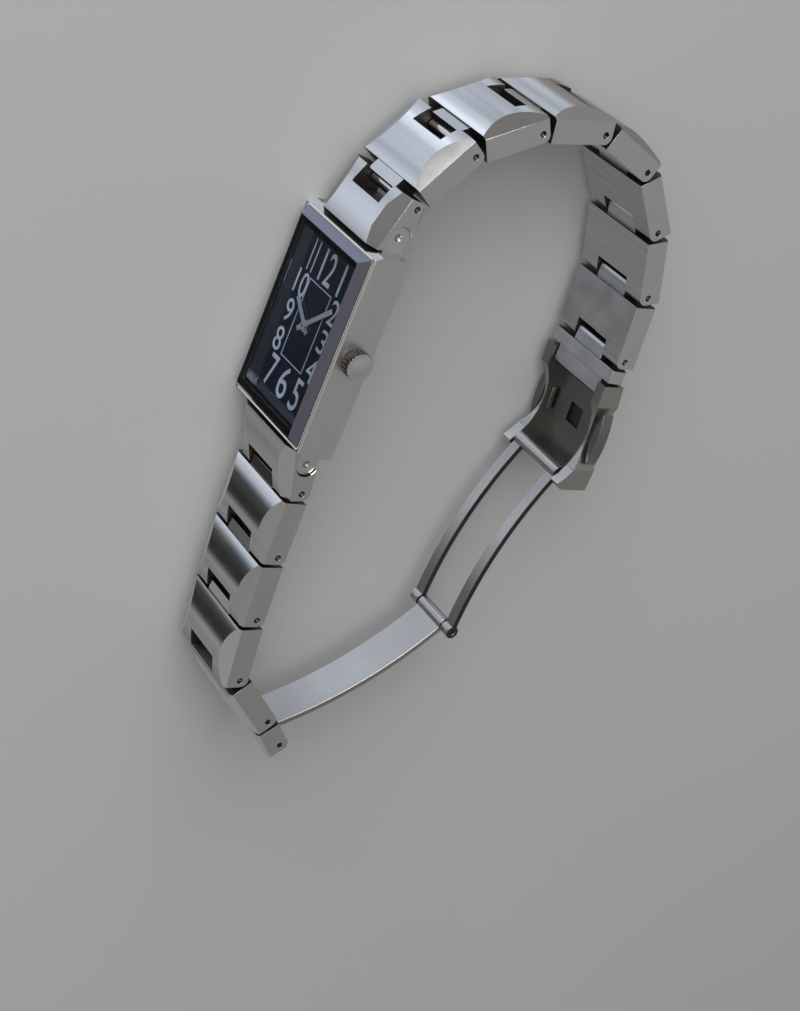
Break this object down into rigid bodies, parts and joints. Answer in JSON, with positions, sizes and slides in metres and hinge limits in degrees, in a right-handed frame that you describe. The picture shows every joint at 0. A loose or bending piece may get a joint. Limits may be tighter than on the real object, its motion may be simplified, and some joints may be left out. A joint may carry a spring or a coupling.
{
  "type": "quartz wristwatch",
  "caption": "Small rectangular quartz watch with a bevelled crystal, a link bracelet and an opened folding clasp.",
  "frame": {"origin": "middle of the flat side of the watch body at 9 o'clock, on which the watch lies", "axes": "+Z from 9 to 3 o'clock along the winding stem, +X from 12 to 6 o'clock, -Y out of the dial"},
  "size_m": [0.0962, 0.0501, 0.0199],
  "materials": {
    "polished_steel": "polished",
    "satin_steel": "satin",
    "pin_steel": "satin",
    "silver_trim": "polished",
    "mineral_glass": "polished",
    "dial_lacquer": "gloss lacquer",
    "seal_rubber": "matt",
    "white_resin": "matt",
    "movement_brass": "satin",
    "circuit_green": "matt",
    "copper_wire": "varnished"
  },
  "bodies": {
    "head": {"case_middle": "polished_steel", "case_back": "satin_steel", "case_back_gasket": "seal_rubber", "case_back_screws": "satin_steel", "crystal": "mineral_glass", "crystal_gasket": "white_resin", "dial_frame": "silver_trim", "dial": "dial_lacquer", "movement_holder": "white_resin", "main_plate": "movement_brass", "train_bridge": "satin_steel", "circuit_board": "circuit_green", "coil": "copper_wire", "button_cell": "satin_steel", "crown_tube": "pin_steel", "lug_spring_bars": "pin_steel", "end_link_12": "polished_steel", "end_link_6": "polished_steel", "end_link_pins": "pin_steel"},
    "crown_seal": {"crown_gasket": "seal_rubber"},
    "crown": {"crown": "polished_steel", "winding_stem": "pin_steel"},
    "minute_train": {"minute_hand": "silver_trim", "centre_wheel": "movement_brass"},
    "hour_train": {"hour_hand": "silver_trim", "hour_wheel": "movement_brass"},
    "link_12_1": {"link_12_1": "polished_steel", "pin_12_1": "pin_steel"},
    "link_12_2": {"link_12_2": "polished_steel", "pin_12_2": "pin_steel"},
    "link_12_3": {"link_12_3": "polished_steel", "pin_12_3": "pin_steel"},
    "link_12_4": {"link_12_4": "polished_steel", "pin_12_4": "pin_steel"},
    "link_12_5": {"link_12_5": "polished_steel", "pin_12_5": "pin_steel"},
    "link_12_6": {"link_12_6": "polished_steel", "pin_12_6": "pin_steel"},
    "link_12_7": {"link_12_7": "polished_steel", "pin_12_7": "pin_steel"},
    "clasp_link_12": {"clasp_link_12": "polished_steel"},
    "clasp_cover": {"clasp_cover": "satin_steel", "cover_spring_bar": "pin_steel", "cover_hinge_pin": "pin_steel"},
    "push_button_3": {"push_button_3": "satin_steel"},
    "push_button_9": {"push_button_9": "satin_steel"},
    "frame_blade": {"frame_blade": "satin_steel"},
    "link_6_1": {"link_6_1": "polished_steel", "pin_6_1": "pin_steel"},
    "link_6_2": {"link_6_2": "polished_steel", "pin_6_2": "pin_steel"},
    "link_6_3": {"link_6_3": "polished_steel", "pin_6_3": "pin_steel"},
    "link_6_4": {"link_6_4": "polished_steel", "pin_6_4": "pin_steel"},
    "clasp_link_6": {"clasp_link_6": "polished_steel", "inner_blade_pin": "pin_steel"},
    "inner_blade": {"inner_blade": "satin_steel", "blade_joint_pin": "pin_steel"}
  },
  "joints": [
    {"name": "link_12_1_turn", "type": "hinge", "parent": "head", "child": "link_12_1", "pos_m": [-0.0196, 0.0018, 0.009], "axis": [0, 0, 1], "range_deg": [-7, 33]},
    {"name": "link_12_2_turn", "type": "hinge", "parent": "link_12_1", "child": "link_12_2", "pos_m": [-0.02748, 0.00692, 0.009], "axis": [0, 0, 1], "range_deg": [-7, 35]},
    {"name": "link_12_3_turn", "type": "hinge", "parent": "link_12_2", "child": "link_12_3", "pos_m": [-0.03218, 0.01506, 0.009], "axis": [0, 0, 1], "range_deg": [-7, 27]},
    {"name": "link_12_4_turn", "type": "hinge", "parent": "link_12_3", "child": "link_12_4", "pos_m": [-0.03398, 0.02429, 0.009], "axis": [0, 0, 1], "range_deg": [-7, 39]},
    {"name": "link_12_5_turn", "type": "hinge", "parent": "link_12_4", "child": "link_12_5", "pos_m": [-0.03076, 0.03312, 0.009], "axis": [0, 0, 1], "range_deg": [-7, 39]},
    {"name": "link_12_6_turn", "type": "hinge", "parent": "link_12_5", "child": "link_12_6", "pos_m": [-0.02346, 0.03904, 0.009], "axis": [0, 0, 1], "range_deg": [-7, 27]},
    {"name": "link_12_7_turn", "type": "hinge", "parent": "link_12_6", "child": "link_12_7", "pos_m": [-0.01462, 0.04225, 0.009], "axis": [0, 0, 1], "range_deg": [-7, 22]},
    {"name": "clasp_link_12_turn", "type": "hinge", "parent": "link_12_7", "child": "clasp_link_12", "pos_m": [-0.00528, 0.04323, 0.009], "axis": [0, 0, 1], "range_deg": [-7, 13]},
    {"name": "clasp_cover_turn", "type": "hinge", "parent": "clasp_link_12", "child": "clasp_cover", "pos_m": [-0.00008, 0.04332, 0.009], "axis": [0, 0, 1], "range_deg": [-9, 4]},
    {"name": "frame_blade_fold", "type": "hinge", "parent": "clasp_cover", "child": "frame_blade", "pos_m": [0.01286, 0.04235, 0.009], "axis": [0, 0, 1], "range_deg": [-152, 10]},
    {"name": "link_6_1_turn", "type": "hinge", "parent": "head", "child": "link_6_1", "pos_m": [0.0196, 0.0018, 0.009], "axis": [0, 0, 1], "range_deg": [-2, 24]},
    {"name": "link_6_2_turn", "type": "hinge", "parent": "link_6_1", "child": "link_6_2", "pos_m": [0.02899, 0.00213, 0.009], "axis": [0, 0, 1], "range_deg": [-10, 20]},
    {"name": "link_6_3_turn", "type": "hinge", "parent": "link_6_2", "child": "link_6_3", "pos_m": [0.03837, 0.00278, 0.009], "axis": [0, 0, 1], "range_deg": [-11, 16]},
    {"name": "link_6_4_turn", "type": "hinge", "parent": "link_6_3", "child": "link_6_4", "pos_m": [0.0477, 0.00393, 0.009], "axis": [0, 0, 1], "range_deg": [-49, 16]},
    {"name": "clasp_link_6_turn", "type": "hinge", "parent": "link_6_4", "child": "clasp_link_6", "pos_m": [0.05399, 0.01091, 0.009], "axis": [0, 0, 1], "range_deg": [-3, 15]},
    {"name": "inner_blade_fold", "type": "hinge", "parent": "clasp_link_6", "child": "inner_blade", "pos_m": [0.05765, 0.01432, 0.009], "axis": [0, 0, 1], "range_deg": [-92, 25]},
    {"name": "crown_pull", "type": "slide", "parent": "head", "child": "crown_seal", "axis": [0, 0, 1], "range_m": [0, 0.0006]},
    {"name": "crown_turn", "type": "hinge", "parent": "crown_seal", "child": "crown", "pos_m": [0, 0, 0.018], "axis": [0, 0, 1], "continuous": true},
    {"name": "minute_turn", "type": "hinge", "parent": "head", "child": "minute_train", "pos_m": [0, -0.0012, 0.009], "axis": [0, -1, 0], "continuous": true},
    {"name": "hour_turn", "type": "hinge", "parent": "head", "child": "hour_train", "pos_m": [0, -0.0012, 0.009], "axis": [0, -1, 0], "continuous": true},
    {"name": "push_button_3_press", "type": "slide", "parent": "clasp_cover", "child": "push_button_3", "axis": [0, 0, -1], "range_m": [0, 0.0004], "stiffness_N_per_m": 200},
    {"name": "push_button_9_press", "type": "slide", "parent": "clasp_cover", "child": "push_button_9", "axis": [0, 0, 1], "range_m": [0, 0.0004], "stiffness_N_per_m": 200}
  ],
  "couplings": [
    {"joint": "hour_turn", "follows": "minute_turn", "ratio": 0.083333}
  ]
}
